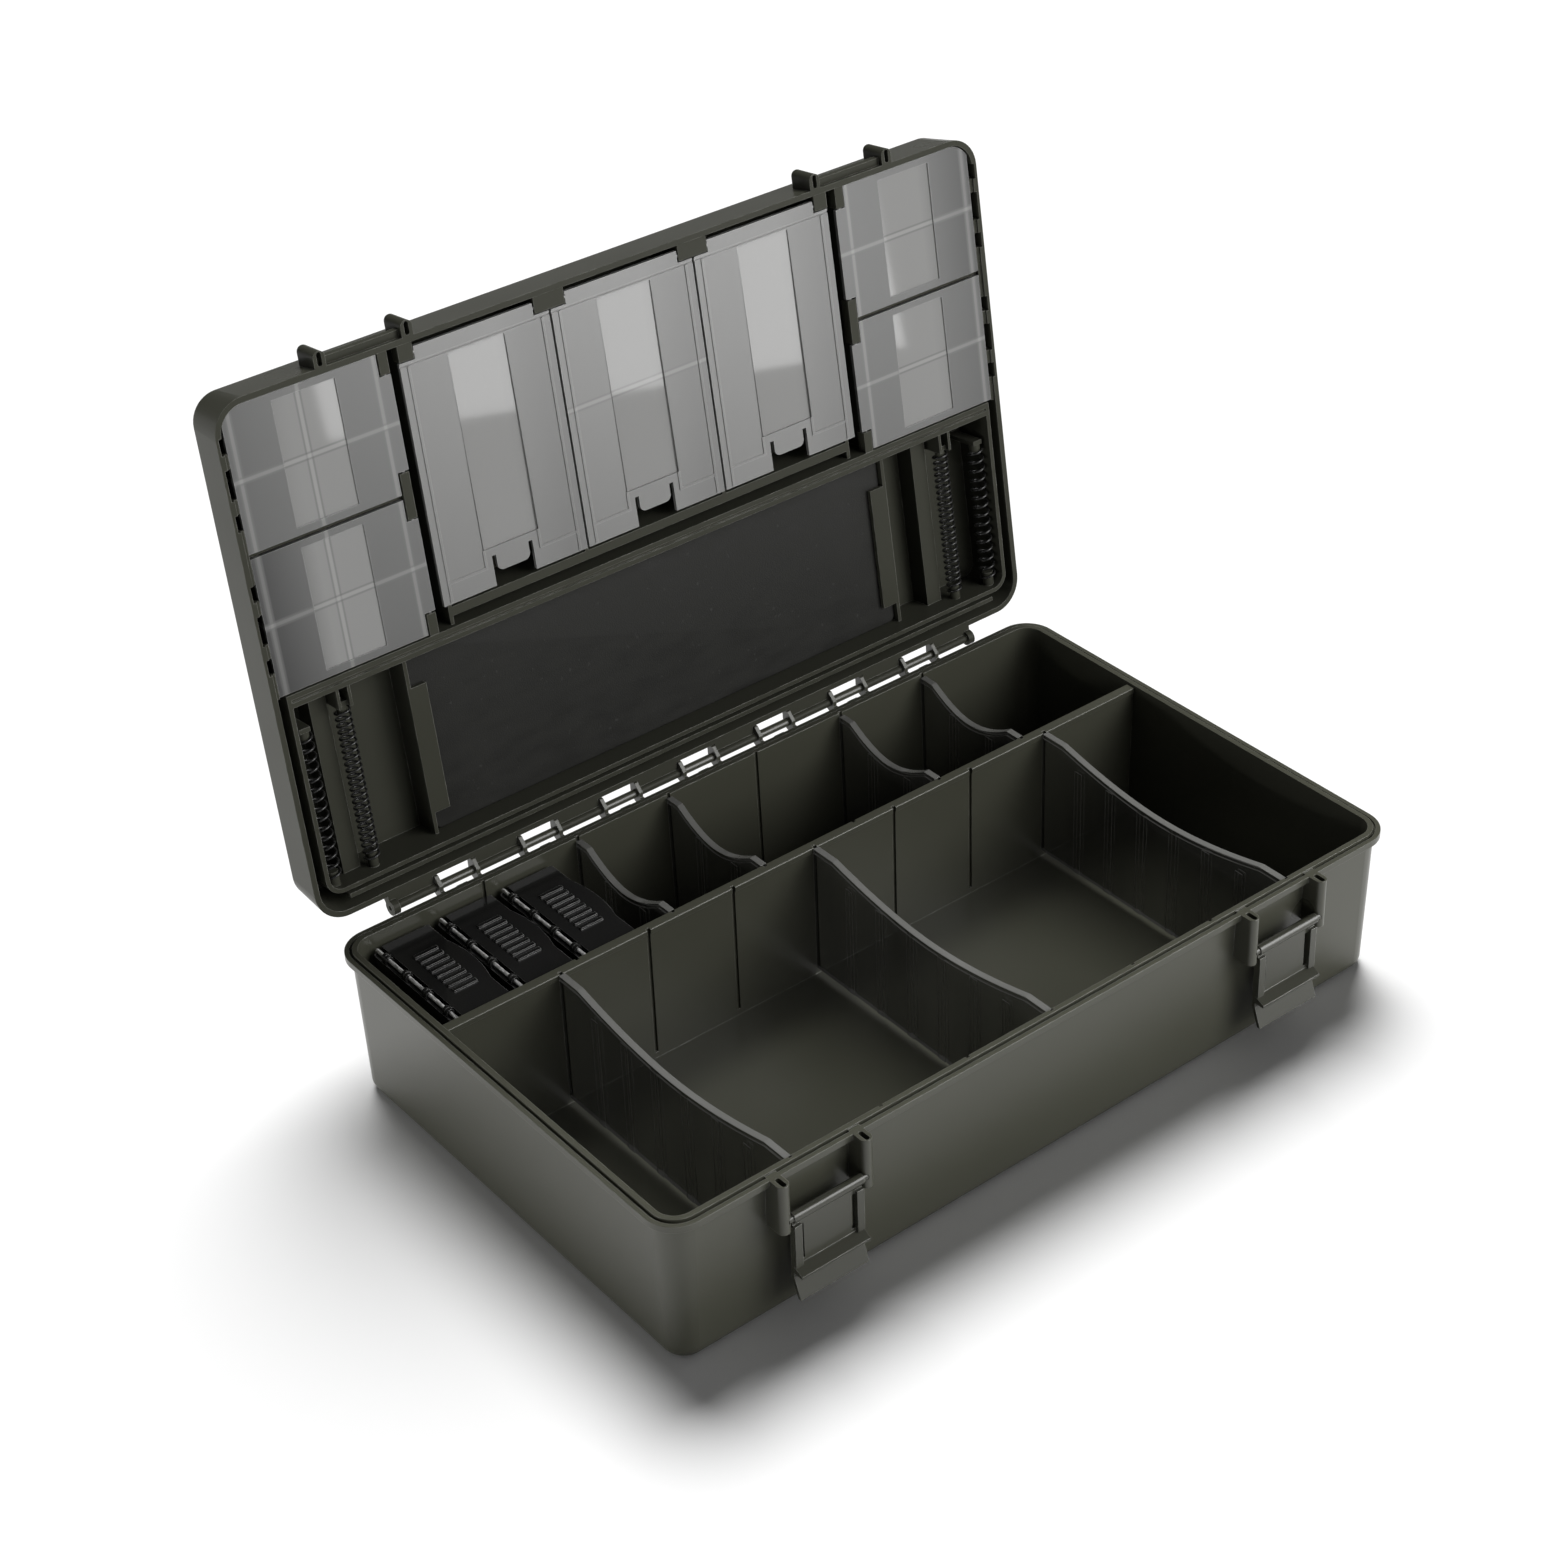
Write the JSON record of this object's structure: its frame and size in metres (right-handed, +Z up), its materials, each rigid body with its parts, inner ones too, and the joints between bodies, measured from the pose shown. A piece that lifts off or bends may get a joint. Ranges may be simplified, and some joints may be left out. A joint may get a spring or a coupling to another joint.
{
  "type": "tackle box",
  "caption": "Shallow tackle box with a hinged lid, snap latches, removable dividers, hook boxes, covered lid bins, a foam board and coil springs.",
  "frame": {"origin": "centre of the flat underside of the base", "axes": "+X along the length, +Y towards the lid's hinge, -Y towards the latches, +Z up; the lid stands open on its stop at rest"},
  "size_m": [0.362, 0.283, 0.2916],
  "materials": {
    "olive_plastic": "satin moulded olive plastic",
    "smoke_cover": "smoky see-through plastic",
    "smoke_divider": "dark smoky see-through plastic",
    "black_plastic": "satin black",
    "steel": "bright",
    "spring_black": "black coated wire",
    "board_foam": "closed-cell foam"
  },
  "bodies": {
    "base": {"base_tray": "olive_plastic", "hinge_pin": "steel"},
    "lid": {"lid_shell": "olive_plastic", "rig_board": "board_foam", "outer_spring_left": "spring_black", "outer_spring_right": "spring_black", "inner_spring_left": "spring_black", "inner_spring_right": "spring_black"},
    "centre_cover_1": {"centre_cover_1": "smoke_cover"},
    "centre_cover_2": {"centre_cover_2": "smoke_cover"},
    "centre_cover_3": {"centre_cover_3": "smoke_cover"},
    "side_cover_left_rear": {"side_cover_left_rear": "smoke_cover"},
    "side_cover_left_front": {"side_cover_left_front": "smoke_cover"},
    "latch_lever_left": {"latch_lever_left": "olive_plastic"},
    "side_cover_right_rear": {"side_cover_right_rear": "smoke_cover"},
    "side_cover_right_front": {"side_cover_right_front": "smoke_cover"},
    "latch_lever_right": {"latch_lever_right": "olive_plastic"},
    "front_divider_1": {"front_divider_1": "smoke_divider"},
    "front_divider_2": {"front_divider_2": "smoke_divider"},
    "front_divider_3": {"front_divider_3": "smoke_divider"},
    "rear_divider_1": {"rear_divider_1": "smoke_divider"},
    "rear_divider_2": {"rear_divider_2": "smoke_divider"},
    "rear_divider_3": {"rear_divider_3": "smoke_divider"},
    "rear_divider_4": {"rear_divider_4": "smoke_divider"},
    "hook_box_1": {"hook_box_1": "black_plastic", "hook_box_pin_1": "steel"},
    "hook_box_lid_1": {"hook_box_lid_1": "black_plastic"},
    "hook_box_2": {"hook_box_2": "black_plastic", "hook_box_pin_2": "steel"},
    "hook_box_lid_2": {"hook_box_lid_2": "black_plastic"},
    "hook_box_3": {"hook_box_3": "black_plastic", "hook_box_pin_3": "steel"},
    "hook_box_lid_3": {"hook_box_lid_3": "black_plastic"}
  },
  "joints": [
    {"name": "lid_hinge", "type": "hinge", "parent": "base", "child": "lid", "pos_m": [0, 0.11285, 0.067], "axis": [-1, 0, 0], "range_deg": [-98.25, 0]},
    {"name": "centre_cover_1_hinge", "type": "hinge", "parent": "lid", "child": "centre_cover_1", "pos_m": [-0.0684, 0.14538, 0.27812], "axis": [-1, 0, 0], "range_deg": [0, 105]},
    {"name": "centre_cover_2_hinge", "type": "hinge", "parent": "lid", "child": "centre_cover_2", "pos_m": [0, 0.14538, 0.27812], "axis": [-1, 0, 0], "range_deg": [0, 105]},
    {"name": "centre_cover_3_hinge", "type": "hinge", "parent": "lid", "child": "centre_cover_3", "pos_m": [0.0684, 0.14538, 0.27812], "axis": [-1, 0, 0], "range_deg": [0, 105]},
    {"name": "side_cover_left_rear_hinge", "type": "hinge", "parent": "lid", "child": "side_cover_left_rear", "pos_m": [-0.10855, 0.13351, 0.19622], "axis": [0, 0.1435, 0.9897], "range_deg": [0, 90]},
    {"name": "side_cover_left_front_hinge", "type": "hinge", "parent": "lid", "child": "side_cover_left_front", "pos_m": [-0.10855, 0.14183, 0.25362], "axis": [0, 0.1435, 0.9897], "range_deg": [0, 90]},
    {"name": "side_cover_right_rear_hinge", "type": "hinge", "parent": "lid", "child": "side_cover_right_rear", "pos_m": [0.10855, 0.13351, 0.19622], "axis": [0, -0.1435, -0.9897], "range_deg": [0, 90]},
    {"name": "side_cover_right_front_hinge", "type": "hinge", "parent": "lid", "child": "side_cover_right_front", "pos_m": [0.10855, 0.14183, 0.25362], "axis": [0, -0.1435, -0.9897], "range_deg": [0, 90]},
    {"name": "latch_left", "type": "hinge", "parent": "base", "child": "latch_lever_left", "pos_m": [-0.1156, -0.11245, 0.05], "axis": [-1, 0, 0], "range_deg": [0, 180]},
    {"name": "latch_right", "type": "hinge", "parent": "base", "child": "latch_lever_right", "pos_m": [0.1156, -0.11245, 0.05], "axis": [-1, 0, 0], "range_deg": [0, 180]},
    {"name": "front_divider_1_lift", "type": "slide", "parent": "base", "child": "front_divider_1", "axis": [0, 0, 1], "range_m": [0, 0.07]},
    {"name": "front_divider_2_lift", "type": "slide", "parent": "base", "child": "front_divider_2", "axis": [0, 0, 1], "range_m": [0, 0.07]},
    {"name": "front_divider_3_lift", "type": "slide", "parent": "base", "child": "front_divider_3", "axis": [0, 0, 1], "range_m": [0, 0.07]},
    {"name": "rear_divider_1_lift", "type": "slide", "parent": "base", "child": "rear_divider_1", "axis": [0, 0, 1], "range_m": [0, 0.07]},
    {"name": "rear_divider_2_lift", "type": "slide", "parent": "base", "child": "rear_divider_2", "axis": [0, 0, 1], "range_m": [0, 0.07]},
    {"name": "rear_divider_3_lift", "type": "slide", "parent": "base", "child": "rear_divider_3", "axis": [0, 0, 1], "range_m": [0, 0.07]},
    {"name": "rear_divider_4_lift", "type": "slide", "parent": "base", "child": "rear_divider_4", "axis": [0, 0, 1], "range_m": [0, 0.07]},
    {"name": "hook_box_1_lift", "type": "slide", "parent": "base", "child": "hook_box_1", "axis": [0, 0, 1], "range_m": [0, 0.07]},
    {"name": "hook_box_lid_1_hinge", "type": "hinge", "parent": "hook_box_1", "child": "hook_box_lid_1", "pos_m": [-0.1654, 0.07, 0.0612], "axis": [0, -1, 0], "range_deg": [0, 95]},
    {"name": "hook_box_2_lift", "type": "slide", "parent": "base", "child": "hook_box_2", "axis": [0, 0, 1], "range_m": [0, 0.07]},
    {"name": "hook_box_lid_2_hinge", "type": "hinge", "parent": "hook_box_2", "child": "hook_box_lid_2", "pos_m": [-0.136, 0.07, 0.0612], "axis": [0, -1, 0], "range_deg": [0, 95]},
    {"name": "hook_box_3_lift", "type": "slide", "parent": "base", "child": "hook_box_3", "axis": [0, 0, 1], "range_m": [0, 0.07]},
    {"name": "hook_box_lid_3_hinge", "type": "hinge", "parent": "hook_box_3", "child": "hook_box_lid_3", "pos_m": [-0.1066, 0.07, 0.0612], "axis": [0, -1, 0], "range_deg": [0, 95]}
  ]
}
